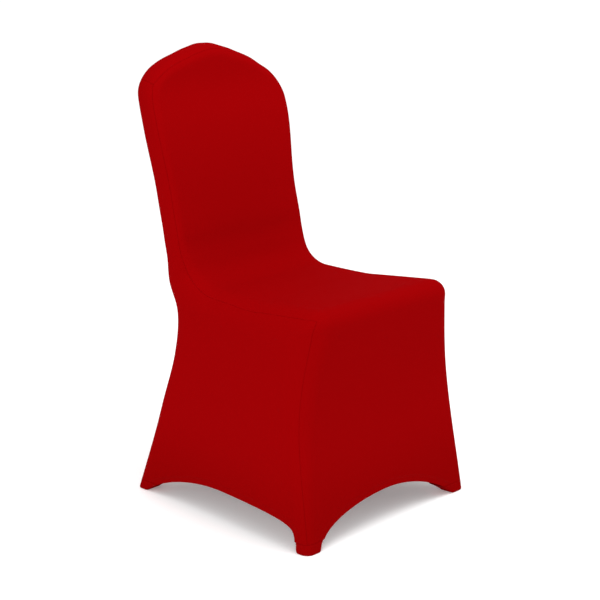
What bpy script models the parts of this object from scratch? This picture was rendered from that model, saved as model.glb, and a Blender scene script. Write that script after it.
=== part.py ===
# Stretch chair cover: a taut knitted cover with a crowned back, hollow inside.
# It is cut as a front strip, a back, two sides and four foot pockets, all of 2 mm cloth.
# Metres. X is the width, the front of the seat faces -Y, Z is up and the feet stand on z = 0.
import math

import bpy
import numpy as np

COLLECTION = "stretch_chair_cover"

CLOTH = 0.002          # thickness of the knit
SEAM = 0.0003          # gap between two sewn pieces

HEIGHT = 0.932         # floor to the top of the crown at its front
SEAT_HEIGHT = 0.470    # floor to the seat at its front
SEAT_FALL = 0.066      # how far the seat falls for each metre towards the back
SEAT_LIFT = 0.022      # how far the taut knit rises from the seat before the backrest
LIFT_START = -0.066    # where it starts to rise
LIFT_END = 0.126       # where it has risen so far
LIFT_POWER = 1.2       # how much the rise grows towards its end
SEAT_FRONT = 0.235     # depth of the seat's front before the origin
BACK_THICK = 0.056     # backrest, front to back

SEAT_EDGE = 0.038      # radius of the seat's front edge
SEAT_FILLET = 0.088    # radius where the seat meets the backrest
SHOULDER = 0.044       # radius where the crown runs into the sides
CROWN_RISE = 0.15      # how far the crown rises for each metre towards the back
CROWN_TILT = 0.03      # how far it drops for each metre towards the right
CROWN_ASIDE = -0.012   # where its top lies, a little left of the middle
REST_EDGE = 0.4        # radius of the backrest's edges, as a share of its thickness
LEG_CORNER = 0.018     # radius of a leg's corner at the floor
SEAT_CORNER = 0.06     # the same at the top of the leg
LEG_TOP = 0.42         # height of the top of the legs
EDGE_CHANGE = 0.14     # rise over which the corner tightens to the backrest's edge
CROWN_LEVEL = 0.93     # height at which the backrest's top is measured

FOOT_FRONT = 0.042     # width of a foot pocket at the floor, along the front or rear
FOOT_SIDE = 0.035      # the same along a side
POCKET = 0.022         # height of a foot pocket
POCKET_CORNER = 0.007  # radius of its upright edges at the floor, apart from the leg's corner
RIM_CORNER = 0.0015    # the same at its rim, where it meets the hem
POCKET_SIDES = 20      # points round it
SOLE_EDGE = 0.003      # radius of the edge round its sole
ARCH_FRONT = 0.071     # top of the front and rear arches of the hem above the floor
ARCH_SIDE = 0.066      # top of the side arches
ARCH_POWER = 1.9       # how flat the arches are along their middles

# How steeply a hem arch drops at each foot: near 0 is a straight sock, 1 a wide flare.
# columns: sideways place, lengthways place, drop along the front or rear, drop along the side
FEET = {
    "front_left": (-1, -1, 0.45, 0.14),
    "front_right": (1, -1, 0.86, 0.40),
    "rear_left": (-1, 1, 0.60, 0.71),
    "rear_right": (1, 1, 0.60, 0.60),
}

# The taut outline at each height, measured on the outside of the cloth.
# columns: height, depth of the back line behind the origin
BACK_LINE = [
    (0.00, 0.268),
    (0.20, 0.193),
    (0.32, 0.165),
    (0.40, 0.171),
    (0.46, 0.195),
    (0.52, 0.191),
    (0.63, 0.211),
    (0.78, 0.239),
    (0.86, 0.259),
    (0.93, 0.260),
]
# columns: height, depth of the front line before the origin, half width along the front
FRONT_LINE = [
    (0.00, 0.267, 0.255),
    (0.30, 0.239, 0.244),
    (0.46, 0.258, 0.222),
]
# columns: height, half width along the back
BACK_WIDTH = [
    (0.00, 0.208),
    (0.25, 0.219),
    (0.45, 0.196),
    (0.53, 0.193),
    (0.65, 0.192),
    (0.78, 0.202),
    (0.93, 0.191),
]
# columns: distance from the crown's top, drop of the crown below it. The first row is the far
# side of the top, which keeps it level there.
CROWN = [
    (-0.02, 0.0007),
    (0.00, 0.0000),
    (0.02, 0.0007),
    (0.04, 0.0053),
    (0.06, 0.0103),
    (0.08, 0.0168),
    (0.12, 0.0302),
    (0.16, 0.0503),
    (0.20, 0.0675),
    (0.24, 0.0875),
]

# Cells of the grid that the panels share
ACROSS = 14            # along the width
SEAT_CELLS = 12        # along the seat
EDGE_CELLS = 3         # through the backrest
SKIRT_CELLS = 12       # up the skirt
REST_CELLS = 16        # up the backrest

RED = (0.335, 0.0012, 0.0016, 1.0)


def through(at, table, column=1):
    """Smooth line through a table's points: cubic pieces whose slopes come from the neighbours."""
    rows = np.array(table, dtype=float)
    place, value = rows[:, 0], rows[:, column]
    slope = np.gradient(value, place)
    at = np.clip(at, place[0], place[-1])
    i = np.clip(np.searchsorted(place, at) - 1, 0, len(place) - 2)
    width = place[i + 1] - place[i]
    t = (at - place[i]) / width
    start = (2 * t**3 - 3 * t**2 + 1) * value[i] + (t**3 - 2 * t**2 + t) * width * slope[i]
    end = (3 * t**2 - 2 * t**3) * value[i + 1] + (t**3 - t**2) * width * slope[i + 1]
    return start + end


def ease(t):
    """Runs from 0 to 1 with level ends."""
    t = np.clip(t, 0, 1)
    return t * t * (3 - 2 * t)


def join_round(a, b, radius):
    """Either of two solids, with a fillet where they meet. Distances are below 0 inside."""
    hollow = np.hypot(np.maximum(radius - a, 0), np.maximum(radius - b, 0))
    return np.maximum(radius, np.minimum(a, b)) - hollow


def cut_round(a, b, radius):
    """Both of two solids at once, with a rounded edge where they meet."""
    crest = np.hypot(np.maximum(radius + a, 0), np.maximum(radius + b, 0))
    return np.minimum(-radius, np.maximum(a, b)) + crest


def back_y(z):
    """Place of the back line at a height."""
    return through(z, BACK_LINE)


def rest_y(z):
    """Place of the backrest's front at a height."""
    return back_y(z) - BACK_THICK


def front_y(z):
    """Place of the front line at a height."""
    return -through(z, FRONT_LINE)


def half_width(y, z):
    """Half the width at a place: the front's and the back's, blended along the depth."""
    along = (y - front_y(z)) / (back_y(z) - front_y(z))
    front = through(z, FRONT_LINE, 2)
    return front + (through(z, BACK_WIDTH) - front) * ease(along)


def seat_z(y):
    """Height of the seat, which falls a little towards the backrest and lifts before it."""
    lift = np.clip((y - LIFT_START) / (LIFT_END - LIFT_START), 0, 1) ** LIFT_POWER
    return SEAT_HEIGHT - SEAT_FALL * (y + SEAT_FRONT) + SEAT_LIFT * lift


def crown_z(x, y):
    """Height of the crown: it drops on each side of its top, and rises a little to the back."""
    drop = through(np.abs(x - CROWN_ASIDE), CROWN) + CROWN_TILT * x
    return HEIGHT - drop + CROWN_RISE * (y - rest_y(CROWN_LEVEL))


def corner_radius(z):
    """Radius of the upright edges: it grows up the legs, then tightens round the backrest."""
    leg = LEG_CORNER + (SEAT_CORNER - LEG_CORNER) * np.clip(z / LEG_TOP, 0, 1)
    rest = BACK_THICK * REST_EDGE
    return leg + (rest - leg) * ease((z - LEG_TOP) / EDGE_CHANGE)


def seat_and_rest(p):
    """Value of the seat and the backrest's front, run into one another without the sides."""
    y, z = p[..., 1], p[..., 2]
    return join_round(z - seat_z(y), rest_y(z) - y, SEAT_FILLET)


def skin(p):
    """Signed distance-like value of the stretched outside: below 0 within the cover."""
    x, y, z = p[..., 0], p[..., 1], p[..., 2]
    radius = corner_radius(z)
    body = cut_round(seat_and_rest(p), front_y(z) - y, SEAT_EDGE)
    outline = cut_round(np.abs(x) - half_width(y, z), z - crown_z(x, y), SHOULDER)
    body = cut_round(body, outline, radius)
    return cut_round(body, y - back_y(z), radius)


def gradient(surface, p, level):
    """Gradient of a surface's value, by small differences. It is flat at points marked level."""
    step = 1e-4
    pairs = [surface(p + step * e) - surface(p - step * e) for e in np.eye(3)]
    g = np.stack(pairs, axis=-1) / (2 * step)
    g[level, 2] = 0
    return g


def settle(surface, p, level, rounds=8):
    """Draws points onto a surface. Those marked level keep their height, as a hem does."""
    for _ in range(rounds):
        g = gradient(surface, p, level)
        size = np.maximum((g**2).sum(-1), 0.2)
        step = np.clip(-surface(p) / size, -0.03, 0.03)
        p = p + step[..., None] * g
    return p


def outward(surface, p, level):
    """Unit normals of a surface, flat at points marked level."""
    g = gradient(surface, p, level)
    return g / np.linalg.norm(g, axis=-1, keepdims=True)


def spaced(count, low, high, crowd):
    """Grid lines from low to high, drawn towards both ends by crowd."""
    t = np.linspace(0, 1, count + 1)
    wave = (1 - np.cos(np.pi * t)) / 2
    return low + (high - low) * ((1 - crowd) * t + crowd * wave)


def foot_sides(side):
    """Names of the two feet at the ends of a side, lower end of its axis first."""
    if side in ("front", "rear"):
        return side + "_left", side + "_right"
    return "front_" + side, "rear_" + side


def half_span(side):
    """Half the length of a side of the skirt at the floor."""
    if side in ("front", "rear"):
        return float(half_width(front_y(0.0) if side == "front" else back_y(0.0), 0.0))
    return float(back_y(0.0) - front_y(0.0)) / 2


def foot_width(side):
    """Width of a foot pocket at the floor, along a side."""
    return FOOT_FRONT if side in ("front", "rear") else FOOT_SIDE


def arch_top(side):
    """Height of the hem in the middle of a side."""
    return ARCH_FRONT if side in ("front", "rear") else ARCH_SIDE


def drop_of(foot, side):
    """How steeply the hem of a side drops at a foot."""
    return FEET[foot][2] if side in ("front", "rear") else FEET[foot][3]


def hem_height(along, side):
    """Height of a side's hem at a distance from its middle.

    It is the arch's top times (1 - t to the arch power) to the foot's drop, where t runs from 0
    in the middle to 1 at the foot, and no lower than the rim of the foot pockets.
    """
    t = np.clip(np.abs(along) / (half_span(side) - foot_width(side)), 0, 1)
    low, high = foot_sides(side)
    drop = np.where(along < 0, drop_of(low, side), drop_of(high, side))
    return np.maximum(arch_top(side) * (1 - t**ARCH_POWER) ** drop, POCKET) + SEAM


def foot_reach(foot, side, z):
    """Width of a foot pocket along a side at a height: the hem's arch, carried to the floor."""
    share = np.clip(z / arch_top(side), 0, 1) ** (1 / drop_of(foot, side))
    half = half_span(side)
    return half - (1 - share) ** (1 / ARCH_POWER) * (half - foot_width(side))


def hem_lines(count, side):
    """Places of the grid's lines along a side's hem, from -1 to 1: two cells on each foot."""
    low, high = foot_sides(side)
    first = foot_reach(low, side, POCKET) / half_span(side)
    last = foot_reach(high, side, POCKET) / half_span(side)
    arch = spaced(count - 4, first - 1, 1 - last, 0.45)
    return np.concatenate([[-1, first / 2 - 1], arch, [1 - last / 2, 1]])


def block_cells():
    """Cells on the outside of an L-shaped block of cells, as lists of corners, for each panel.

    A corner is (i, j, k): i across, j from front to back, k from the hem up. Below the seat the
    block is full depth, and above it only the backrest's cells remain.
    """
    deep = SEAT_CELLS + EDGE_CELLS
    high = SKIRT_CELLS + REST_CELLS
    front, back, left, right = [], [], [], []
    for i in range(ACROSS):
        for k in range(high):
            j = 0 if k < SKIRT_CELLS else SEAT_CELLS
            front.append([(i, j, k), (i + 1, j, k), (i + 1, j, k + 1), (i, j, k + 1)])
            j = deep
            back.append([(i, j, k + 1), (i + 1, j, k + 1), (i + 1, j, k), (i, j, k)])
        for j in range(deep):
            k = SKIRT_CELLS if j < SEAT_CELLS else high
            level = front if j < SEAT_CELLS else back
            level.append([(i, j, k), (i + 1, j, k), (i + 1, j + 1, k), (i, j + 1, k)])
    for j in range(deep):
        for k in range(SKIRT_CELLS if j < SEAT_CELLS else high):
            ring = [(j, k), (j, k + 1), (j + 1, k + 1), (j + 1, k)]
            left.append([(0, b, c) for b, c in ring])
            right.append([(ACROSS, b, c) for b, c in reversed(ring)])
    return {"front_panel": front, "back_panel": back,
            "side_panel_left": left, "side_panel_right": right}


def place_corners(corners):
    """Points on the skin for the block's corners, and which of them lie on the hem."""
    i, j, k = np.array(corners).T
    deep = SEAT_CELLS + EDGE_CELLS
    at_front, at_back = j == 0, j == deep
    at_left, at_right = i == 0, i == ACROSS
    level = k == 0

    seat_rows = spaced(SEAT_CELLS, 0, 1, 0.4)
    depth = np.concatenate([seat_rows, 1 + spaced(EDGE_CELLS, 0, 1, 0.2)[1:]])[j]
    skirt_rows = spaced(SKIRT_CELLS, 0, 1, 0.3)
    rise = np.concatenate([skirt_rows, 1 + spaced(REST_CELLS, 0, 1, 0.3)[1:]])[k]
    up = ease(rise)
    hem_x = np.where(at_back, hem_lines(ACROSS, "rear")[i], hem_lines(ACROSS, "front")[i])
    hem_y = np.where(at_right, hem_lines(deep, "right")[j], hem_lines(deep, "left")[j])
    across = hem_x + (spaced(ACROSS, -1, 1, 0.5)[i] - hem_x) * up

    z = np.where(rise <= 1, rise * SEAT_HEIGHT, SEAT_HEIGHT + (rise - 1) * (HEIGHT - SEAT_HEIGHT))
    for _ in range(4):
        near, rest, far = front_y(z), rest_y(z), back_y(z)
        seat_y = np.where(depth <= 1, near + (rest - near) * depth, rest + (far - rest) * (depth - 1))
        low_y = near + (far - near) * (hem_y + 1) / 2
        y = low_y + (seat_y - low_y) * up
        x = across * half_width(y, z)
        along = ((y - near) / (far - near) * 2 - 1) * half_span("left")
        hem = np.where(at_right, hem_height(along, "right"), hem_height(along, "left"))
        hem = np.where(at_front, hem_height(x, "front"), hem)
        hem = np.where(at_back, hem_height(x, "rear"), hem)
        hem = np.where((at_front | at_back) & (at_left | at_right), POCKET + SEAM, hem)
        seat = seat_z(y)
        z = np.where(rise <= 1, hem + (seat - hem) * rise, seat + (crown_z(x, y) - seat) * (rise - 1))
    points = np.stack([x, y, z], axis=1)
    upper = (rise >= 1) & (depth <= 1) & (depth > 0)
    points[upper] = settle(seat_and_rest, points[upper], level[upper])
    points[:, 0] = across * half_width(points[:, 1], points[:, 2])
    return settle(skin, points, level), level


def border_edges(faces):
    """Directed edges that only one face has."""
    edges = [(a, b) for face in faces for a, b in zip(face, face[1:] + face[:1])]
    taken = set(edges)
    return [(a, b) for a, b in edges if (b, a) not in taken]


def drawn_in(points, normals, faces, level):
    """Points with the sheet's sewn edges drawn in by half the seam, and its hem left in place."""
    inward = {}
    for a, b in border_edges(faces):
        if level[a] and level[b]:
            continue
        run = points[b] - points[a]
        for corner in (a, b):
            side = np.cross(normals[corner], run)
            inward.setdefault(corner, []).append(side / np.linalg.norm(side))
    moved = points.copy()
    for corner, sides in inward.items():
        both = sum(sides) / (1 + (sides[0] @ sides[1] if len(sides) == 2 else 0))
        if level[corner]:
            both[2] = 0
        moved[corner] += both * SEAM / 2
    return moved


def cloth_wall(name, outside, inside, faces, material, collection):
    """A closed wall of cloth between two sheets of points that share their faces."""
    used = sorted({corner for face in faces for corner in face})
    place = {corner: n for n, corner in enumerate(used)}
    count = len(used)
    points = np.concatenate([outside[used], inside[used]])
    outer = [[place[c] for c in face] for face in faces]
    inner = [[c + count for c in reversed(face)] for face in outer]
    rim = [[b, a, a + count, b + count] for a, b in border_edges(outer)]
    mesh = bpy.data.meshes.new(name)
    mesh.from_pydata(points.tolist(), [], outer + inner + rim)
    mesh.shade_smooth()
    mesh.set_sharp_from_angle(angle=math.radians(50))
    mesh.materials.append(material)
    cloth = bpy.data.objects.new(name, mesh)
    collection.objects.link(cloth)
    return cloth


def make_panels(material, collection):
    """The front, the back and the two sides, cut from one grid so that their seams match."""
    panels = block_cells()
    corners = sorted({corner for cells in panels.values() for cell in cells for corner in cell})
    index = {corner: n for n, corner in enumerate(corners)}
    points, level = place_corners(corners)
    normals = outward(skin, points, level)
    for name, cells in panels.items():
        faces = [[index[corner] for corner in cell] for cell in cells]
        outside = drawn_in(points, normals, faces, level)
        cloth_wall(name, outside, outside - CLOTH * normals, faces, material, collection)


def make_pocket(foot, material, collection):
    """A closed cup for one foot: its outer walls carry on the skirt's, and its sole is flat."""
    sideways, lengthways = FEET[foot][:2]
    along = "front" if lengthways < 0 else "rear"
    beside = "left" if sideways < 0 else "right"

    def edge_y(z):
        return back_y(z) if lengthways > 0 else front_y(z)

    def cup(p):
        x, y, z = p[..., 0], p[..., 1], p[..., 2]
        inner_x = half_width(y, z) - foot_reach(foot, along, z) - sideways * x
        inner_y = lengthways * (edge_y(z) - y) - foot_reach(foot, beside, z)
        corner = POCKET_CORNER + (RIM_CORNER - POCKET_CORNER) * np.clip(z / POCKET, 0, 1)
        walls = cut_round(skin(p), cut_round(inner_x, inner_y, corner), corner)
        return cut_round(walls, -z, SOLE_EDGE)

    lift = np.array([0, SOLE_EDGE * 0.3, SOLE_EDGE, POCKET * 0.3, POCKET * 0.62, POCKET])
    inset = np.array([SOLE_EDGE, SOLE_EDGE * 0.3, 0, 0, 0, 0])
    angle = np.arange(POCKET_SIDES) * 2 * np.pi / POCKET_SIDES
    z = np.repeat(lift, POCKET_SIDES)
    cos, sin = np.tile(np.cos(angle), len(lift)), np.tile(np.sin(angle), len(lift))
    wide, long = foot_reach(foot, along, z), foot_reach(foot, beside, z)
    trim = np.repeat(inset, POCKET_SIDES)
    y = edge_y(z) - lengthways * long / 2 + (long / 2 - trim) * np.sign(sin) * np.abs(sin) ** 0.6
    x = sideways * (half_width(y, z) - wide / 2) + (wide / 2 - trim) * np.sign(cos) * np.abs(cos) ** 0.6
    sole = np.repeat(lift == 0, POCKET_SIDES)
    rim = np.repeat(lift == POCKET, POCKET_SIDES)
    outside = settle(cup, np.stack([x, y, z], axis=1), sole | rim)
    inside = outside - CLOTH * outward(cup, outside, rim)

    rings = np.arange(len(lift) * POCKET_SIDES).reshape(len(lift), POCKET_SIDES).tolist()
    faces = [rings[0][::-1]]
    for low, high in zip(rings, rings[1:]):
        for n in range(POCKET_SIDES):
            m = (n + 1) % POCKET_SIDES
            faces.append([low[n], low[m], high[m], high[n]])
    cloth_wall("foot_pocket_" + foot, outside, inside, faces, material, collection)


def red_knit():
    """Deep red stretch knit: matt, with no metal in it."""
    material = bpy.data.materials.new("red_knit")
    material.use_nodes = True
    shader = material.node_tree.nodes["Principled BSDF"]
    shader.inputs["Base Color"].default_value = RED
    shader.inputs["Roughness"].default_value = 0.8
    shader.inputs["Metallic"].default_value = 0.0
    return material


def main():
    for old in list(bpy.data.objects):
        bpy.data.objects.remove(old, do_unlink=True)
    collection = bpy.data.collections.new(COLLECTION)
    bpy.context.scene.collection.children.link(collection)
    material = red_knit()
    make_panels(material, collection)
    for foot in FEET:
        make_pocket(foot, material, collection)


main()
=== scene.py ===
import math

import bpy
import numpy as np
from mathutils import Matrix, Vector


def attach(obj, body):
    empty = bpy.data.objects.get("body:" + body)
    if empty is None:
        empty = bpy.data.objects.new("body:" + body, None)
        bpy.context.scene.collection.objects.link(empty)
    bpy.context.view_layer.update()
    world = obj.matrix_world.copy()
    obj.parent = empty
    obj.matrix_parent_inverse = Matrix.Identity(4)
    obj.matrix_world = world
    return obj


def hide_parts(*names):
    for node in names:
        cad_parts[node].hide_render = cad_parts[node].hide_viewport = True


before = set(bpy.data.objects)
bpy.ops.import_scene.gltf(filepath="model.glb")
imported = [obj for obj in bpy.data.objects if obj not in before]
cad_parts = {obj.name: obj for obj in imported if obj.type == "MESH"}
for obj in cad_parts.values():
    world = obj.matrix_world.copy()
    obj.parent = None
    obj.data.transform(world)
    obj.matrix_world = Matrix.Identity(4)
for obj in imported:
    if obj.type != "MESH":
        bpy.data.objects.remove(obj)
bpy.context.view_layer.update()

# Camera. It stands 3.4 m away, 14 degrees above the cover's middle, and looks at the front left
# foot, so that the left side and the front show.
VIEW_TURN = math.radians(-48.417)
VIEW_RISE = math.radians(14.0)
VIEW_DISTANCE = 3.4
VIEW_LENS = 98.2          # millimetres, on a frame 36 mm wide
VIEW_MIDDLE = np.array([0.0, -0.005, 0.421])
VIEW_ASIDE = 0.011        # how far the aim is moved to the right

rightwards = np.array([math.cos(VIEW_TURN), math.sin(VIEW_TURN), 0.0])
backwards = np.array([
    math.sin(VIEW_TURN) * math.cos(VIEW_RISE),
    -math.cos(VIEW_TURN) * math.cos(VIEW_RISE),
    math.sin(VIEW_RISE),
])
lens = bpy.data.cameras.new("studio_camera")
lens.sensor_width = 36.0
lens.lens = VIEW_LENS
camera = bpy.data.objects.new("studio_camera", lens)
camera.location = VIEW_MIDDLE + VIEW_ASIDE * rightwards + VIEW_DISTANCE * backwards
camera.rotation_euler = (math.pi / 2 - VIEW_RISE, 0.0, VIEW_TURN)
bpy.context.scene.collection.objects.link(camera)
bpy.context.scene.camera = camera

# Front panel. One strip of knit that runs from the front hem up the skirt, over the seat and up
# the front of the backrest to the crown seam. It is pulled taut from foot to foot, so it has no
# folds, and its lower edge is a turned hem in the shape of a low arch.
SEAM = 0.0001             # gap between two sewn pieces, as it shows
CLOTH = 0.0012            # thickness of the knit
SEWN_EDGE = 0.0003        # how far a sewn edge rounds over
HEM_CLOTH = 0.0021        # thickness of the turned hem
HEM_WIDTH = 0.016         # width of the turned hem
BESIDE_SEAM = 0.0018      # distance of the first line of the grid from a seam
HEM_EASE = 0.004          # width over which the turned hem thins out to single knit

HEIGHT = 0.932            # floor to the top of the crown at its front
SEAT_HEIGHT = 0.470       # floor to the seat at its front
SEAT_FALL = 0.066         # how far the seat falls for each metre towards the back
SEAT_LIFT = 0.022         # how far the taut knit rises from the seat before the backrest
LIFT_START = -0.066       # where it starts to rise
LIFT_END = 0.126          # where it has risen so far
LIFT_POWER = 1.2          # how much the rise grows towards its end
SEAT_FRONT = 0.235        # depth of the seat's front before the origin
BACK_THICK = 0.056        # backrest, front to back
SEAT_EDGE = 0.038         # radius of the seat's front edge
SEAT_FILLET = 0.088       # radius where the seat meets the backrest
SHOULDER = 0.044          # radius where the crown runs into the sides
CROWN_RISE = 0.15         # how far the crown rises for each metre towards the back
CROWN_TILT = 0.03         # how far it drops for each metre towards the right
CROWN_ASIDE = -0.012      # where its top lies, a little left of the middle
REST_EDGE = 0.4           # radius of the backrest's edges, as a share of its thickness
LEG_CORNER = 0.018        # radius of a leg's corner at the floor
SEAT_CORNER = 0.06        # the same at the top of the leg
LEG_TOP = 0.42            # height of the top of the legs
EDGE_CHANGE = 0.14        # rise over which the corner tightens to the backrest's edge
CROWN_LEVEL = 0.93        # height at which the backrest's top is measured

FOOT_FRONT = 0.042        # width of a foot pocket at the floor, along the front or rear
FOOT_SIDE = 0.035         # the same along a side
POCKET = 0.022            # height of a foot pocket
ARCH_FRONT = 0.071        # top of the front and rear arches of the hem above the floor
ARCH_SIDE = 0.066         # top of the side arches
ARCH_POWER = 1.9          # how flat the arches are along their middles

# How steeply a hem arch drops at each foot: near 0 is a straight sock, 1 a wide flare.
# columns: sideways place, lengthways place, drop along the front or rear, drop along the side
FEET = {
    "front_left": (-1, -1, 0.45, 0.14),
    "front_right": (1, -1, 0.86, 0.40),
    "rear_left": (-1, 1, 0.60, 0.71),
    "rear_right": (1, 1, 0.60, 0.60),
}

# columns: height, depth of the back line behind the origin
BACK_LINE = [
    (0.00, 0.268), (0.20, 0.193), (0.32, 0.165), (0.40, 0.171), (0.46, 0.195),
    (0.52, 0.191), (0.63, 0.211), (0.78, 0.239), (0.86, 0.259), (0.93, 0.260),
]
# columns: height, depth of the front line before the origin, half width along the front
FRONT_LINE = [(0.00, 0.267, 0.255), (0.30, 0.239, 0.244), (0.46, 0.258, 0.222)]
# columns: height, half width along the back
BACK_WIDTH = [
    (0.00, 0.208), (0.25, 0.219), (0.45, 0.196), (0.53, 0.193),
    (0.65, 0.192), (0.78, 0.202), (0.93, 0.191),
]
# columns: distance from the crown's top, drop of the crown below it
CROWN = [
    (-0.02, 0.0007), (0.00, 0.0000), (0.02, 0.0007), (0.04, 0.0053), (0.06, 0.0103),
    (0.08, 0.0168), (0.12, 0.0302), (0.16, 0.0503), (0.20, 0.0675), (0.24, 0.0875),
]

# Cells of the grid that the panels share, beside the two narrow ones along each seam
ACROSS_CELLS = 84         # along the width
SEAT_CELLS = 60           # along the seat
EDGE_CELLS = 10           # through the backrest
SKIRT_CELLS = 72          # up the skirt
REST_CELLS = 80           # up the backrest
FOOT_CELLS = 8            # along the hem over each foot
SEAT_DEPTH = 0.39         # rough lengths that the cells are shared out over
PANEL_WIDTH = 0.44


def through(at, table, column=1):
    """Smooth line through a table's points: cubic pieces whose slopes come from the neighbours."""
    rows = np.array(table, dtype=float)
    place, value = rows[:, 0], rows[:, column]
    slope = np.gradient(value, place)
    at = np.clip(at, place[0], place[-1])
    i = np.clip(np.searchsorted(place, at) - 1, 0, len(place) - 2)
    width = place[i + 1] - place[i]
    t = (at - place[i]) / width
    start = (2 * t**3 - 3 * t**2 + 1) * value[i] + (t**3 - 2 * t**2 + t) * width * slope[i]
    end = (3 * t**2 - 2 * t**3) * value[i + 1] + (t**3 - t**2) * width * slope[i + 1]
    return start + end


def ease(t):
    """3 t squared minus 2 t cubed: runs from 0 to 1 with level ends."""
    t = np.clip(t, 0, 1)
    return t * t * (3 - 2 * t)


def join_round(a, b, radius):
    """Either of two solids: the lesser distance, less a circular fillet where both are short."""
    hollow = np.hypot(np.maximum(radius - a, 0), np.maximum(radius - b, 0))
    return np.maximum(radius, np.minimum(a, b)) - hollow


def cut_round(a, b, radius):
    """Both of two solids: the greater distance, plus a circular rounding of their edge."""
    crest = np.hypot(np.maximum(radius + a, 0), np.maximum(radius + b, 0))
    return np.minimum(-radius, np.maximum(a, b)) + crest


def back_y(z):
    """Place of the back line at a height."""
    return through(z, BACK_LINE)


def rest_y(z):
    """Place of the backrest's front at a height."""
    return back_y(z) - BACK_THICK


def front_y(z):
    """Place of the front line at a height."""
    return -through(z, FRONT_LINE)


def half_width(y, z):
    """Half the width at a place: the front's and the back's, eased along the depth."""
    along = (y - front_y(z)) / (back_y(z) - front_y(z))
    front = through(z, FRONT_LINE, 2)
    return front + (through(z, BACK_WIDTH) - front) * ease(along)


def seat_z(y):
    """Height of the seat, which falls evenly towards the backrest and lifts before it, by a
    power of the way through the lift."""
    lift = np.clip((y - LIFT_START) / (LIFT_END - LIFT_START), 0, 1) ** LIFT_POWER
    return SEAT_HEIGHT - SEAT_FALL * (y + SEAT_FRONT) + SEAT_LIFT * lift


def crown_z(x, y):
    """Height of the crown: its top, less the drop at that distance from the top and a tilt, plus
    a rise towards the back."""
    drop = through(np.abs(x - CROWN_ASIDE), CROWN) + CROWN_TILT * x
    return HEIGHT - drop + CROWN_RISE * (y - rest_y(CROWN_LEVEL))


def corner_radius(z):
    """Radius of the upright edges: it grows evenly up the legs, then eases to the backrest's."""
    leg = LEG_CORNER + (SEAT_CORNER - LEG_CORNER) * np.clip(z / LEG_TOP, 0, 1)
    return leg + (BACK_THICK * REST_EDGE - leg) * ease((z - LEG_TOP) / EDGE_CHANGE)


def seat_and_rest(p):
    """Distance above the seat or before the backrest, run into one another by a fillet."""
    y, z = p[..., 1], p[..., 2]
    return join_round(z - seat_z(y), rest_y(z) - y, SEAT_FILLET)


def skin(p):
    """Distance from the taut outside, below 0 within: under the seat and behind the backrest's
    front, behind the front line, within the width and under the crown, and before the back line,
    each cut by the next with a rounded edge."""
    x, y, z = p[..., 0], p[..., 1], p[..., 2]
    radius = corner_radius(z)
    body = cut_round(seat_and_rest(p), front_y(z) - y, SEAT_EDGE)
    outline = cut_round(np.abs(x) - half_width(y, z), z - crown_z(x, y), SHOULDER)
    body = cut_round(body, outline, radius)
    return cut_round(body, y - back_y(z), radius)


def gradient(surface, p, level):
    """Gradient of a distance by central differences, with no upward part at level points."""
    step = 1e-4
    pairs = [surface(p + step * e) - surface(p - step * e) for e in np.eye(3)]
    g = np.stack(pairs, axis=-1) / (2 * step)
    g[level, 2] = 0
    return g


def settle(surface, p, level, rounds=10):
    """Draws points onto a surface: each round moves them down the gradient by the distance over
    the gradient's square, which is held above a least value, and by no more than a longest step."""
    least, longest = 0.2, 0.03
    for _ in range(rounds):
        g = gradient(surface, p, level)
        size = np.maximum((g**2).sum(-1), least)
        p = p + np.clip(-surface(p) / size, -longest, longest)[..., None] * g
    return p


def outward(surface, p, level):
    """Unit normals: the gradient over its own length."""
    g = gradient(surface, p, level)
    return g / np.linalg.norm(g, axis=-1, keepdims=True)


def spaced(count, low, high, crowd, length):
    """Grid lines from low to high, drawn towards both ends by a cosine, and one more close
    beside each end, where the seams are. The length is the real one in metres."""
    t = np.linspace(0, 1, count + 1)
    share = (1 - crowd) * t + crowd * (1 - np.cos(np.pi * t)) / 2
    near = BESIDE_SEAM / length
    share = np.concatenate([[0, near], share[1:-1], [1 - near, 1]])
    return low + (high - low) * share


def foot_sides(side):
    """Names of the two feet at the ends of a side, lower end of its axis first."""
    if side in ("front", "rear"):
        return side + "_left", side + "_right"
    return "front_" + side, "rear_" + side


def half_span(side):
    """Half the length of a side of the skirt at the floor."""
    if side in ("front", "rear"):
        return float(half_width(front_y(0.0) if side == "front" else back_y(0.0), 0.0))
    return float(back_y(0.0) - front_y(0.0)) / 2


def foot_width(side):
    """Width of a foot pocket at the floor, along a side."""
    return FOOT_FRONT if side in ("front", "rear") else FOOT_SIDE


def arch_top(side):
    """Height of the hem in the middle of a side."""
    return ARCH_FRONT if side in ("front", "rear") else ARCH_SIDE


def drop_of(foot, side):
    """How steeply the hem of a side drops at a foot."""
    return FEET[foot][2] if side in ("front", "rear") else FEET[foot][3]


def arch_height(along, side):
    """Height of a side's arch at a distance from its middle: its top times (1 - t to the arch
    power) to the foot's drop, where t runs from 0 in the middle to 1 at the foot."""
    t = np.clip(np.abs(along) / (half_span(side) - foot_width(side)), 0, 1)
    low, high = foot_sides(side)
    drop = np.where(along < 0, drop_of(low, side), drop_of(high, side))
    return arch_top(side) * (1 - t**ARCH_POWER) ** drop


def hem_height(along, side):
    """Height of a side's hem: its arch, but no lower than the rim of the foot pockets."""
    return np.maximum(arch_height(along, side), POCKET) + SEAM


def foot_reach(foot, side, z):
    """Width of a foot pocket along a side at a height: the hem's arch, carried to the floor."""
    share = np.clip(z / arch_top(side), 0, 1) ** (1 / drop_of(foot, side))
    half = half_span(side)
    return half - (1 - share) ** (1 / ARCH_POWER) * (half - foot_width(side))


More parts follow.
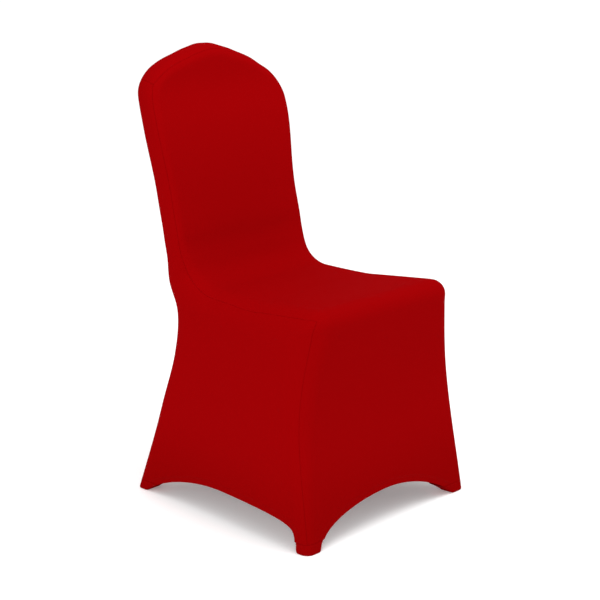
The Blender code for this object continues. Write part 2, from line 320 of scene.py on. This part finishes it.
def hem_lines(count, side):
    """Places of the grid's lines along a side's hem, from -1 to 1: some over each foot, and the
    rest at equal steps of the arch's own length, which brings them close where it is steep."""
    low, high = foot_sides(side)
    half = half_span(side)
    start = foot_reach(low, side, POCKET) - half
    stop = half - foot_reach(high, side, POCKET)
    place = start + (stop - start) * ease(np.linspace(0, 1, 4001))
    run = np.hypot(np.diff(place), np.diff(hem_height(place, side)))
    length = np.concatenate([[0], np.cumsum(run)])
    arch = np.interp(np.linspace(0, length[-1], count - 2 * FOOT_CELLS + 1), length, place)
    first = np.linspace(BESIDE_SEAM - half, start, FOOT_CELLS)[:-1]
    last = np.linspace(stop, half - BESIDE_SEAM, FOOT_CELLS)[1:]
    return np.concatenate([[-half], first, arch, last, [half]]) / half


seat_lines = spaced(SEAT_CELLS, 0, 1, 0.25, SEAT_DEPTH)
edge_lines = spaced(EDGE_CELLS, 1, 2, 0.1, BACK_THICK)
skirt_lines = spaced(SKIRT_CELLS, 0, 1, 0.2, SEAT_HEIGHT)
rest_lines = spaced(REST_CELLS, 1, 2, 0.2, HEIGHT - SEAT_HEIGHT)
across_lines = spaced(ACROSS_CELLS, -1, 1, 0.25, PANEL_WIDTH)
depth_lines = np.concatenate([seat_lines, edge_lines[1:]])
rise_lines = np.concatenate([skirt_lines, rest_lines[1:]])
SEAT_ROW = len(skirt_lines) - 1     # the grid's row along the seat's edge
CROWN_ROW = len(rise_lines) - 1
REST_LINE = len(seat_lines) - 1     # the grid's line along the foot of the backrest
BACK_LAST = len(depth_lines) - 1
RIGHT_LAST = len(across_lines) - 1
hem_places = {
    "front": hem_lines(RIGHT_LAST, "front"),
    "rear": hem_lines(RIGHT_LAST, "rear"),
    "left": hem_lines(BACK_LAST, "left"),
    "right": hem_lines(BACK_LAST, "right"),
}


def lay_cloth(i, j, k):
    """Points and normals of the taut cloth for grid lines i across, j back and k up.

    Height runs evenly from the hem's arch to the seat and on to the crown. Depth runs evenly
    from the front line to the backrest and through it, width from side to side. Lines start from
    their places along the hem and ease to even ones at the seat. Every point then settles on the
    skin, and those of the hem keep their height."""
    i, j, k = np.broadcast_arrays(i, j, k)
    at_front, at_back = j == 0, j == BACK_LAST
    at_left, at_right = i == 0, i == RIGHT_LAST
    level = k == 0
    depth, rise = depth_lines[j], rise_lines[k]
    up = ease(rise)
    hem_x = np.where(at_back, hem_places["rear"][i], hem_places["front"][i])
    hem_y = np.where(at_right, hem_places["right"][j], hem_places["left"][j])
    across = hem_x + (across_lines[i] - hem_x) * up
    z = np.where(rise <= 1, rise * SEAT_HEIGHT, SEAT_HEIGHT + (rise - 1) * (HEIGHT - SEAT_HEIGHT))
    for _ in range(5):
        near, rest, far = front_y(z), rest_y(z), back_y(z)
        on_seat = near + (rest - near) * depth
        seat_y = np.where(depth <= 1, on_seat, rest + (far - rest) * (depth - 1))
        low_y = near + (far - near) * (hem_y + 1) / 2
        y = low_y + (seat_y - low_y) * up
        x = across * half_width(y, z)
        along = ((y - near) / (far - near) * 2 - 1) * half_span("left")
        hem = np.where(at_right, hem_height(along, "right"), hem_height(along, "left"))
        hem = np.where(at_front, hem_height(x, "front"), hem)
        hem = np.where(at_back, hem_height(x, "rear"), hem)
        hem = np.where((at_front | at_back) & (at_left | at_right), POCKET + SEAM, hem)
        seat = seat_z(y)
        on_rest = seat + (crown_z(x, y) - seat) * (rise - 1)
        z = np.where(rise <= 1, hem + (seat - hem) * rise, on_rest)
    points = np.stack([x, y, z], axis=-1)
    upper = (rise >= 1) & (depth <= 1) & (depth > 0)
    points[upper] = settle(seat_and_rest, points[upper], level[upper])
    points[..., 0] = across * half_width(points[..., 1], points[..., 2])
    points = settle(skin, points, level)
    return points, outward(skin, points, level)


def grid_faces(rows, columns):
    """Corners of the cells of a grid whose points are numbered row by row."""
    number = np.arange(rows * columns).reshape(rows, columns)
    cells = [number[:-1, :-1], number[:-1, 1:], number[1:, 1:], number[1:, :-1]]
    return np.stack(cells, axis=-1).reshape(-1, 4)


def cloth_map(points):
    """Places on the cloth in metres: lengths along each row from its middle, and along each
    column from its first row."""
    across = np.linalg.norm(np.diff(points, axis=1), axis=-1)
    along = np.linalg.norm(np.diff(points, axis=0), axis=-1)
    u = np.pad(np.cumsum(across, axis=1), ((0, 0), (1, 0)))
    v = np.pad(np.cumsum(along, axis=0), ((1, 0), (0, 0)))
    middle = u.shape[1] // 2
    return np.stack([u - u[:, middle:middle + 1], v], axis=-1)


def hem_share(points, side):
    """1 within the turned hem of a side, 0 above it: the distance to the arch, measured on the
    flat side, over the hem's width, eased."""
    half = half_span(side)
    place = np.linspace(-half, half, 400)
    height = arch_height(place, side)
    flat = points[..., 0]
    if side in ("left", "right"):
        flat = points[..., 1] - (back_y(0.0) + front_y(0.0)) / 2
    low = points[..., 2] < 2 * ARCH_FRONT
    share = np.zeros(points.shape[:-1])
    reach = np.hypot(flat[low][:, None] - place, points[low][:, 2:] - height).min(axis=1)
    share[low] = 1 - ease((reach - HEM_WIDTH) / HEM_EASE + 0.5)
    return share


def on_arch(points, row):
    """Which points lie on the free edge of a hem: those of its lowest row, between the feet."""
    return (row == 0) & (points[..., 2] > POCKET + 0.001)


def new_piece(name, points, loops, finish, places=None):
    """A piece from its points, the corners of its faces and each point's place on the cloth."""
    mesh = bpy.data.meshes.new(name)
    mesh.from_pydata(points.tolist(), [], loops)
    if places is not None:
        corners = np.empty(len(mesh.loops), dtype=np.int32)
        mesh.loops.foreach_get("vertex_index", corners)
        layer = mesh.uv_layers.new(name="cloth_map")
        layer.data.foreach_set("uv", places[corners].astype(np.float32).ravel())
    mesh.shade_smooth()
    mesh.materials.append(finish)
    mesh.update()
    piece = bpy.data.objects.new(name, mesh)
    bpy.context.scene.collection.objects.link(piece)
    return piece


def new_finish(name):
    """A material, with its nodes, its links and its shader."""
    material = bpy.data.materials.new(name)
    material.use_nodes = True
    nodes = material.node_tree.nodes
    return material, nodes, material.node_tree.links, nodes["Principled BSDF"]


def sewn_sheet(name, points, normals, thick, turned, faces, places, finish, sole=()):
    """A closed sheet of cloth from its outside points.

    The inside lies one thickness down the normals. Along every edge both walls are drawn in by
    the edge's rounding and half the seam, and half an ellipse joins them: as deep as the cloth is
    thick, and rounded by half of that on a turned hem, but only a little where it is sewn. The
    edge's direction is twice the sum of its two unit side vectors over that sum's square, which
    keeps corners full."""
    count = len(points)
    starts, ends = faces.ravel(), np.roll(faces, -1, axis=1).ravel()
    if len(sole):
        starts = np.concatenate([starts, sole])
        ends = np.concatenate([ends, np.roll(sole, -1)])
    free = ~np.isin(starts * count + ends, ends * count + starts)
    starts, ends = starts[free], ends[free]
    side = np.cross(normals[starts], points[ends] - points[starts])
    side /= np.linalg.norm(side, axis=1, keepdims=True)
    inward = np.zeros_like(points)
    np.add.at(inward, starts, side)
    np.add.at(inward, ends, side)
    edge = np.unique(starts)
    inward[edge] *= 2 / (inward[edge] ** 2).sum(axis=1, keepdims=True)
    bulge = np.where(turned, thick / 2, SEWN_EDGE)[:, None]
    outside = points + inward * (bulge + SEAM / 2)
    inside = outside - thick[:, None] * normals
    middle = (outside + inside)[edge] / 2
    aside = -inward[edge] / np.linalg.norm(inward[edge], axis=1, keepdims=True)
    half = thick[edge, None] / 2
    folds = [
        middle + half * math.cos(turn) * normals[edge] + bulge[edge] * math.sin(turn) * aside
        for turn in np.linspace(0, math.pi, 6)[1:-1]
    ]
    rings = [np.arange(count)] + [np.zeros(count, int) for _ in folds] + [np.arange(count) + count]
    for n, ring in enumerate(rings[1:-1]):
        ring[edge] = 2 * count + n * len(edge) + np.arange(len(edge))
    walls = [faces, faces[:, ::-1] + count]
    for upper, lower in zip(rings, rings[1:]):
        walls.append(np.stack([upper[ends], upper[starts], lower[starts], lower[ends]], axis=1))
    loops = np.concatenate(walls).tolist()
    if len(sole):
        loops += [list(sole), [c + count for c in reversed(sole)]]
    all_points = np.concatenate([outside, inside] + folds)
    all_places = np.concatenate([places, places] + [places[edge]] * len(folds))
    return new_piece(name, all_points, loops, finish, all_places)


def knit_finish(name, wale, course, rough):
    """Jersey knit on the cloth map. A wale is a column of V-shaped loops: the phase of a loop is
    its place along the wale less its distance from the wale's edge, and its height is a raised
    cosine of that phase times the sine across the wale."""
    material, nodes, links, shader = new_finish(name)

    def reckon(operation, *values):
        node = nodes.new("ShaderNodeMath")
        node.operation = operation
        for socket, value in zip(node.inputs, values):
            if isinstance(value, bpy.types.NodeSocket):
                links.new(value, socket)
            else:
                socket.default_value = value
        return node.outputs["Value"]

    def shade(factor, low, high):
        node = nodes.new("ShaderNodeMix")
        node.data_type = "RGBA"
        links.new(factor, node.inputs["Factor"])
        for label, value in (("A", low), ("B", high)):
            socket = [s for s in node.inputs if s.name == label and s.type == "RGBA"][0]
            if isinstance(value, bpy.types.NodeSocket):
                links.new(value, socket)
            else:
                socket.default_value = (*value, 1.0)
        return [s for s in node.outputs if s.type == "RGBA"][0]

    place = nodes.new("ShaderNodeUVMap")
    place.uv_map = "cloth_map"
    split = nodes.new("ShaderNodeSeparateXYZ")
    links.new(place.outputs["UV"], split.inputs["Vector"])
    across = reckon("DIVIDE", split.outputs["X"], wale)
    along = reckon("DIVIDE", split.outputs["Y"], course)
    from_edge = reckon("PINGPONG", across, 0.5)
    phase = reckon("SUBTRACT", along, from_edge)
    loop = reckon("MULTIPLY_ADD", reckon("COSINE", reckon("MULTIPLY", phase, 2 * math.pi)), 0.3, 0.7)
    round_over = reckon("SINE", reckon("MULTIPLY", from_edge, math.pi))
    height = reckon("MULTIPLY", loop, round_over)

    where = nodes.new("ShaderNodeTexCoord")
    cloud = nodes.new("ShaderNodeTexNoise")
    cloud.inputs["Scale"].default_value = 7.0
    cloud.inputs["Detail"].default_value = 3.0
    links.new(where.outputs["Object"], cloud.inputs["Vector"])
    # Painted shade: the grooves between the loops get a darker red, and the cloud's random tone leans
    # towards the same red.
    yarn = shade(height, RED_GROOVE_SHADE_AND_TONE, RED_LOOP)
    yarn = shade(reckon("MULTIPLY", cloud.outputs["Fac"], 0.25), yarn, RED_GROOVE_SHADE_AND_TONE)
    above = nodes.new("ShaderNodeSeparateXYZ")
    links.new(where.outputs["Object"], above.inputs["Vector"])
    # Painted shade: the red darkens towards the feet, by height alone.
    painted_foot_shade = nodes.new("ShaderNodeMapRange")
    painted_foot_shade.interpolation_type = "SMOOTHSTEP"
    ranges = {"From Min": PAINTED_SHADE_FULL, "From Max": PAINTED_SHADE_END, "To Min": PAINTED_SHADE_SHARE, "To Max": 0.0}
    for socket, value in ranges.items():
        painted_foot_shade.inputs[socket].default_value = value
    links.new(above.outputs["Z"], painted_foot_shade.inputs["Value"])
    links.new(shade(painted_foot_shade.outputs["Result"], yarn, RED_FOOT_PAINTED_SHADE), shader.inputs["Base Color"])

    bump = nodes.new("ShaderNodeBump")
    bump.inputs["Strength"].default_value = 0.35
    bump.inputs["Distance"].default_value = 0.0003
    links.new(height, bump.inputs["Height"])
    links.new(bump.outputs["Normal"], shader.inputs["Normal"])
    roughness = reckon("MULTIPLY_ADD", height, -0.08, rough)
    links.new(roughness, shader.inputs["Roughness"])
    shader.inputs["Specular IOR Level"].default_value = 0.002
    shader.inputs["Sheen Weight"].default_value = 0.02
    shader.inputs["Sheen Roughness"].default_value = 0.6
    shader.inputs["Sheen Tint"].default_value = (0.80, 0.0, 0.01, 1.0)
    return material


RED_LOOP = (0.277, 0.0006, 0.0014)
# The groove red is painted shade between the loops and also the darker red of the random tone.
RED_GROOVE_SHADE_AND_TONE = (0.233, 0.0005, 0.0010)
RED_FOOT_PAINTED_SHADE = (0.218, 0.0005, 0.0008)    # painted shade: a darker red near the feet
PAINTED_SHADE_FULL = 0.03          # height up to which the painted shade is fullest
PAINTED_SHADE_END = 0.20         # height from which there is no painted shade
PAINTED_SHADE_SHARE = 0.8          # share of the painted shade's red at its fullest
WALE = 0.0011             # width of a column of loops
COURSE = 0.0009           # height of a loop
panel_knit = knit_finish("panel_knit", WALE, COURSE, rough=0.86)

columns = np.arange(RIGHT_LAST + 1)[None, :]
up_skirt = np.arange(SEAT_ROW + 1)
along_seat = np.arange(1, REST_LINE + 1)
up_rest = np.arange(SEAT_ROW + 1, CROWN_ROW + 1)
strip_j = np.concatenate([0 * up_skirt, along_seat, 0 * up_rest + REST_LINE])[:, None]
strip_k = np.concatenate([up_skirt, 0 * along_seat + SEAT_ROW, up_rest])[:, None]
points, normals = lay_cloth(columns, strip_j, strip_k)
thick = CLOTH + (HEM_CLOTH - CLOTH) * hem_share(points, "front")
front_panel = sewn_sheet(
    "front_panel_cloth", points.reshape(-1, 3), normals.reshape(-1, 3), thick.ravel(),
    on_arch(points, strip_k).ravel(), grid_faces(*points.shape[:2]),
    cloth_map(points).reshape(-1, 2), panel_knit,
)
seams = {
    "front_left": (points[:, 0], normals[:, 0]),
    "front_right": (points[:, -1], normals[:, -1]),
    "crown": (points[-1], normals[-1]),
}
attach(front_panel, "root")
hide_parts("front_panel")

# Back panel. The crown's narrow top strip and the outside of the back, cut in one piece down to
# the rear hem. It bows in behind the seat, because the knit is stretched straight between the
# backrest and the rear foot pockets.
over_crown = np.arange(REST_LINE, BACK_LAST + 1)
down_back = np.arange(CROWN_ROW - 1, -1, -1)
strip_j = np.concatenate([over_crown, 0 * down_back + BACK_LAST])[:, None]
strip_k = np.concatenate([0 * over_crown + CROWN_ROW, down_back])[:, None]
points, normals = lay_cloth(columns, strip_j, strip_k)
thick = CLOTH + (HEM_CLOTH - CLOTH) * hem_share(points, "rear")
back_panel = sewn_sheet(
    "back_panel_cloth", points.reshape(-1, 3), normals.reshape(-1, 3), thick.ravel(),
    on_arch(points, strip_k).ravel(), grid_faces(*points.shape[:2]),
    cloth_map(points).reshape(-1, 2), panel_knit,
)
seams["back_left"] = points[:, 0], normals[:, 0]
seams["back_right"] = points[:, -1], normals[:, -1]
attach(back_panel, "root")
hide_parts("back_panel")

# Side panels. Each is the side of the skirt, which narrows above the seat to a gusset as wide as
# the backrest is thick and ends at the crown. Its lower edge is a hem like the front's.
deep = np.arange(BACK_LAST + 1)[None, :]
high = np.arange(CROWN_ROW + 1)[:, None]
kept = (high[:-1] < SEAT_ROW) | (deep[:, :-1] >= REST_LINE)
side_panels = {}
for side, column in (("left", 0), ("right", RIGHT_LAST)):
    points, normals = lay_cloth(column, deep, high)
    thick = CLOTH + (HEM_CLOTH - CLOTH) * hem_share(points, side)
    faces = grid_faces(*points.shape[:2])[kept.ravel()]
    if side == "left":
        faces = faces[:, ::-1]
    used, faces = np.unique(faces, return_inverse=True)
    side_panels[side] = sewn_sheet(
        f"side_panel_{side}_cloth", points.reshape(-1, 3)[used], normals.reshape(-1, 3)[used],
        thick.ravel()[used], on_arch(points, high).ravel()[used], faces.reshape(-1, 4),
        cloth_map(points).reshape(-1, 2)[used], panel_knit,
    )
    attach(side_panels[side], "root")
    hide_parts(f"side_panel_{side}")

# Foot pockets. Four closed cups of doubled knit, sewn to the legs of the skirt, which close them
# at the floor and hold the hem down. Their outer walls carry on the skirt's, and their soles are
# flat.
POCKET_CLOTH = 0.0018     # two layers of knit
POCKET_CORNER = 0.007     # radius of the upright edges at the floor, apart from the leg's corner
RIM_CORNER = 0.0015       # the same at the rim, where the pocket meets the hem
POCKET_SIDES = 64         # points round a pocket
SOLE_EDGE = 0.003         # radius of the edge round the sole
SOLE_ROWS = (0.35, 0.7)   # rows of points in the sole, as shares of its outline
POCKET_SQUARE = 0.6       # how square a pocket is before it settles: 1 is an ellipse
POCKET_ROW = 0.0035       # distance of the row of stitches below the pocket's rim

pocket_knit = knit_finish("pocket_knit", WALE, COURSE, rough=0.88)


def pocket_cup(foot):
    """Distance from a foot pocket's outside: the skin, cut by an inner wall along each of the two
    sides that meet at the foot, and by the floor, with rounded edges."""
    sideways, lengthways = FEET[foot][:2]
    along = "front" if lengthways < 0 else "rear"
    beside = "left" if sideways < 0 else "right"
    edge_y = back_y if lengthways > 0 else front_y

    def cup(p):
        x, y, z = p[..., 0], p[..., 1], p[..., 2]
        inner_x = half_width(y, z) - foot_reach(foot, along, z) - sideways * x
        inner_y = lengthways * (edge_y(z) - y) - foot_reach(foot, beside, z)
        corner = POCKET_CORNER + (RIM_CORNER - POCKET_CORNER) * np.clip(z / POCKET, 0, 1)
        walls = cut_round(skin(p), cut_round(inner_x, inner_y, corner), corner)
        return cut_round(walls, -z, SOLE_EDGE)

    return cup


pocket_lines = {}
for foot, (sideways, lengthways, _, _) in FEET.items():
    cup = pocket_cup(foot)
    along = "front" if lengthways < 0 else "rear"
    beside = "left" if sideways < 0 else "right"
    edge = np.sin(np.linspace(0, math.pi / 2, 5))[:-1]
    lift = np.concatenate([SOLE_EDGE * (1 - np.sqrt(1 - edge**2)), np.linspace(SOLE_EDGE, POCKET, 6)])
    trim = np.concatenate([SOLE_EDGE * (1 - edge), np.zeros(6)])
    turn = np.arange(POCKET_SIDES) * 2 * np.pi / POCKET_SIDES
    z, cos = np.meshgrid(lift, np.cos(turn), indexing="ij")
    sin = np.broadcast_to(np.sin(turn), z.shape)
    wide, long = foot_reach(foot, along, z), foot_reach(foot, beside, z)
    middle_y = (back_y(z) if lengthways > 0 else front_y(z)) - lengthways * long / 2
    y = middle_y + (long / 2 - trim[:, None]) * np.sign(sin) * np.abs(sin) ** POCKET_SQUARE
    x = sideways * (half_width(y, z) - wide / 2)
    x += (wide / 2 - trim[:, None]) * np.sign(cos) * np.abs(cos) ** POCKET_SQUARE
    level = np.isin(z, (0.0, POCKET))
    points = settle(cup, np.stack([x, y, z], axis=-1), level)
    normals = outward(cup, points, z == POCKET)
    normals[0] = (0, 0, -1)
    centre = points[0].mean(axis=0)
    sole_rows = centre + np.array(SOLE_ROWS)[:, None, None] * (points[0] - centre)
    points = np.concatenate([sole_rows, points])
    normals = np.concatenate([np.broadcast_to([0.0, 0.0, -1.0], sole_rows.shape), normals])
    ring = np.concatenate([points, points[:, :1]], axis=1)
    places = cloth_map(ring)[:, :-1]
    rows = len(points)
    number = np.arange(rows * POCKET_SIDES).reshape(rows, POCKET_SIDES)
    turned = np.roll(number, -1, axis=1)
    faces = np.stack([number[:-1], turned[:-1], turned[1:], number[1:]], axis=-1).reshape(-1, 4)
    pocket = sewn_sheet(
        f"foot_pocket_{foot}_cloth", points.reshape(-1, 3), normals.reshape(-1, 3),
        np.full(rows * POCKET_SIDES, POCKET_CLOTH), np.zeros(rows * POCKET_SIDES, bool), faces,
        places.reshape(-1, 2), pocket_knit,
        sole=number[0][::-1].tolist(),
    )
    seam_ring = points[-1] - [0, 0, POCKET_ROW]
    seam_ring = settle(cup, seam_ring, np.ones(POCKET_SIDES, bool))
    pocket_lines[foot] = np.concatenate([seam_ring, seam_ring[:1]])
    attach(pocket, "root")
    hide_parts(f"foot_pocket_{foot}")

# Overlocked seams. Inside the cover the edges of two panels are turned in together, trimmed and
# bound with looped thread, which leaves a soft flat ridge along each seam.
OVERLOCK_HALF = 0.0035    # half the width of the ridge
OVERLOCK_THICK = 0.0014
OVERLOCK_SIDES = 10
OVERLOCK_END = 0.004      # how far above a pocket the ridges end
RED_THREAD = (0.255, 0.0009, 0.0012)
THREAD_GAP_PAINTED_SHADE = 0.72       # share of that red in the painted shade between the turns of the thread
WAVES = 0.31              # scale of the wave for one turn a metre


def thread_finish(name, pitch):
    """Looped thread on the cloth map: slanted turns, a raised cosine of the place along the seam
    plus half the turn around it."""
    material, nodes, links, shader = new_finish(name)
    place = nodes.new("ShaderNodeUVMap")
    place.uv_map = "cloth_map"
    wave = nodes.new("ShaderNodeTexWave")
    wave.bands_direction = "DIAGONAL"
    wave.inputs["Scale"].default_value = WAVES / pitch
    wave.inputs["Distortion"].default_value = 0.6
    links.new(place.outputs["UV"], wave.inputs["Vector"])
    # Painted shade: the red is darker in the hollows between the turns of the thread.
    tone = nodes.new("ShaderNodeValToRGB")
    tone.color_ramp.elements[0].color = (*(THREAD_GAP_PAINTED_SHADE * c for c in RED_THREAD), 1.0)
    tone.color_ramp.elements[1].color = (*RED_THREAD, 1.0)
    links.new(wave.outputs["Fac"], tone.inputs["Fac"])
    links.new(tone.outputs["Color"], shader.inputs["Base Color"])
    bump = nodes.new("ShaderNodeBump")
    bump.inputs["Strength"].default_value = 0.5
    bump.inputs["Distance"].default_value = 0.0004
    links.new(wave.outputs["Fac"], bump.inputs["Height"])
    links.new(bump.outputs["Normal"], shader.inputs["Normal"])
    shader.inputs["Roughness"].default_value = 0.7
    shader.inputs["Specular IOR Level"].default_value = 0.01
    return material


def run_along(line):
    """Length along a line at each of its points: the sum of the steps before it."""
    return np.concatenate([[0], np.cumsum(np.linalg.norm(np.diff(line, axis=0), axis=1))])


def swept_ridge(name, centres, normals, half, thick, sides, finish):
    """A flat closed ridge along a line: at each point an ellipse across the line, half wide along
    the surface and half its thickness high along the normal."""
    along = np.gradient(centres, axis=0)
    aside = np.cross(along, normals)
    aside /= np.linalg.norm(aside, axis=1, keepdims=True)
    turn = np.arange(sides) * 2 * np.pi / sides
    wide, high = half * np.cos(turn), thick / 2 * np.sin(turn)
    ring = centres[:, None] + aside[:, None] * wide[:, None] + normals[:, None] * high[:, None]
    rows = len(centres)
    number = np.arange(rows * sides).reshape(rows, sides)
    turned = np.roll(number, -1, axis=1)
    walls = np.stack([number[:-1], turned[:-1], turned[1:], number[1:]], axis=-1).reshape(-1, 4)
    loops = walls.tolist() + [number[0][::-1].tolist(), number[-1].tolist()]
    length = run_along(centres)
    places = np.stack(np.broadcast_arrays(wide[None, :], length[:, None]), axis=-1).reshape(-1, 2)
    return new_piece(name, ring.reshape(-1, 3), loops, finish, places)


overlock = thread_finish("overlock_thread", 0.0026)
for name, (line, across) in seams.items():
    keep = line[:, 2] > POCKET + OVERLOCK_END
    line, across = line[keep], across[keep]
    centres = line - across * (CLOTH + OVERLOCK_THICK / 2)
    ridge = swept_ridge(
        f"overlock_{name}", centres, across, OVERLOCK_HALF, OVERLOCK_THICK, OVERLOCK_SIDES, overlock,
    )
    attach(ridge, "root")

# Hem stitches. A twin needle leaves two lines of short stitches along each hem, and one more line
# holds each foot pocket to the leg above it.
STITCH = 0.0027           # length of a stitch
STITCH_STEP = 0.0035      # from one stitch to the next
STITCH_HALF = 0.00034     # half its width
STITCH_SIDES = 6
# columns: place along the stitch from -1 to 1, width as a share of its middle's
STITCH_SHAPE = [(-1.0, 0.35), (-0.75, 0.85), (0.0, 1.0), (0.75, 0.85), (1.0, 0.35)]
HEM_ROWS = (0.0115, 0.0145)           # distances of the two rows from the hem's edge


def hem_stitch_line(side, inset):
    """Line at a constant distance from a hem's arch: on the flat side, each point of the arch
    plus the inset along the arch's normal, then drawn onto the skin."""
    half = half_span(side)
    place = (half - foot_width(side)) * np.sin(np.linspace(-0.5, 0.5, 6001) * math.pi)
    height = arch_height(place, side)
    run, rise = np.gradient(place), np.gradient(height)
    size = np.hypot(run, rise)
    place, height = place - inset * rise / size, height + inset * run / size
    keep = (height > POCKET + 0.002) & (np.abs(place) < half - 0.004)
    place, height = place[keep], height[keep]
    near, far = front_y(height), back_y(height)
    y = near + (far - near) * (place / half + 1) / 2
    if side in ("front", "rear"):
        line = np.stack([place, near if side == "front" else far, height], axis=1)
    else:
        line = np.stack([half_width(y, height) * (-1 if side == "left" else 1), y, height], axis=1)
    return settle(skin, line, np.ones(len(line), bool))


def stitches_along(name, lines, finish):
    """Stitches as one mesh. Each is a spindle of a few rings, placed at equal steps of the line's
    own length, and lies half sunk along the line."""
    shape = np.array(STITCH_SHAPE)
    turn = np.arange(STITCH_SIDES) * 2 * np.pi / STITCH_SIDES
    parts = []
    for surface, line in lines:
        length = run_along(line)
        at = np.arange(STITCH_STEP / 2, length[-1], STITCH_STEP)
        centre, ahead, behind = (
            np.stack([np.interp(at + step, length, line[:, n]) for n in range(3)], axis=1)
            for step in (0, 1e-3, -1e-3)
        )
        along = ahead - behind
        along /= np.linalg.norm(along, axis=1, keepdims=True)
        normal = outward(surface, centre, np.zeros(len(centre), bool))
        aside = np.cross(normal, along)
        rings = (
            centre[:, None, None]
            + along[:, None, None] * (shape[:, 0] * STITCH / 2)[:, None, None]
            + aside[:, None, None] * (shape[:, 1, None] * STITCH_HALF * np.cos(turn))[..., None]
            + normal[:, None, None] * (shape[:, 1, None] * STITCH_HALF * np.sin(turn))[..., None]
        )
        parts.append(rings.reshape(-1, 3))
    points = np.concatenate(parts)
    number = np.arange(len(points)).reshape(-1, len(shape), STITCH_SIDES)
    turned = np.roll(number, -1, axis=2)
    walls = np.stack([number[:, :-1], turned[:, :-1], turned[:, 1:], number[:, 1:]], axis=-1)
    loops = walls[..., ::-1].reshape(-1, 4).tolist()
    loops += number[:, 0].tolist() + number[:, -1, ::-1].tolist()
    return new_piece(name, points, loops, finish)


thread, thread_nodes, thread_links, thread_shader = new_finish("hem_thread")
twist = thread_nodes.new("ShaderNodeTexNoise")
twist.inputs["Scale"].default_value = 900.0
where = thread_nodes.new("ShaderNodeTexCoord")
thread_links.new(where.outputs["Object"], twist.inputs["Vector"])
tone = thread_nodes.new("ShaderNodeValToRGB")
tone.color_ramp.elements[0].color = (0.222, 0.0008, 0.0011, 1.0)
tone.color_ramp.elements[1].color = (0.300, 0.0012, 0.0017, 1.0)
thread_links.new(twist.outputs["Fac"], tone.inputs["Fac"])
thread_links.new(tone.outputs["Color"], thread_shader.inputs["Base Color"])
thread_shader.inputs["Roughness"].default_value = 0.6
thread_shader.inputs["Specular IOR Level"].default_value = 0.02

hem_stitches = {}
for side in ("front", "rear", "left", "right"):
    lines = [(skin, hem_stitch_line(side, inset)) for inset in HEM_ROWS]
    hem_stitches[side] = stitches_along(f"hem_stitches_{side}", lines, thread)
pocket_stitches = {}
for foot, line in pocket_lines.items():
    lines = [(pocket_cup(foot), line)]
    pocket_stitches[foot] = stitches_along(f"pocket_stitches_{foot}", lines, thread)
for stitches in [*hem_stitches.values(), *pocket_stitches.values()]:
    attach(stitches, "root")

# Studio. A pale floor that is lit a little from below, as a light table is, a white room, a large
# soft light above, another at the left and a small one over the seat.
FLOOR_HALF = 30.0
FLOOR_WHITE = 0.92
FLOOR_GLOW = 0.21         # light from below the floor
ROOM_LIGHT = 0.92         # strength of the white room
# columns: name, place, point that it faces, size, power in watts
SOFT_LIGHTS = [
    ("softbox_above", (-0.8, -1.5, 5.4), (0.0, 0.0, 0.4), 4.0, 80.0),
    ("softbox_left", (-5.0, -0.6, 1.5), (0.0, 0.0, 0.5), 3.0, 60.0),
    ("softbox_near", (0.2, -0.6, 1.9), (0.0, 0.1, 0.5), 1.0, 8.0),
]

floor_mesh = bpy.data.meshes.new("studio_floor")
floor_mesh.from_pydata(
    [(-FLOOR_HALF, -FLOOR_HALF, 0), (FLOOR_HALF, -FLOOR_HALF, 0),
     (FLOOR_HALF, FLOOR_HALF, 0), (-FLOOR_HALF, FLOOR_HALF, 0)],
    [], [(0, 1, 2, 3)],
)
floor = bpy.data.objects.new("studio_floor", floor_mesh)
bpy.context.scene.collection.objects.link(floor)
floor_paint, _, _, paint = new_finish("studio_floor")
paint.inputs["Base Color"].default_value = (FLOOR_WHITE, FLOOR_WHITE, FLOOR_WHITE, 1.0)
paint.inputs["Roughness"].default_value = 0.9
paint.inputs["Specular IOR Level"].default_value = 0.0
paint.inputs["Emission Color"].default_value = (1.0, 1.0, 1.0, 1.0)
paint.inputs["Emission Strength"].default_value = FLOOR_GLOW
floor_mesh.materials.append(floor_paint)

world = bpy.data.worlds.new("studio_room")
bpy.context.scene.world = world
world.use_nodes = True
room = world.node_tree.nodes["Background"]
room.inputs["Color"].default_value = (1.0, 1.0, 1.0, 1.0)
room.inputs["Strength"].default_value = ROOM_LIGHT


def soft_light(name, place, aim, size, power):
    """A large square lamp that faces a point."""
    lamp = bpy.data.lights.new(name, "AREA")
    lamp.shape = "SQUARE"
    lamp.size = size
    lamp.energy = power
    holder = bpy.data.objects.new(name, lamp)
    holder.location = place
    holder.rotation_euler = (Vector(place) - Vector(aim)).to_track_quat("Z", "Y").to_euler()
    bpy.context.scene.collection.objects.link(holder)


for lamp_row in SOFT_LIGHTS:
    soft_light(*lamp_row)

bpy.context.scene.view_settings.view_transform = "Standard"
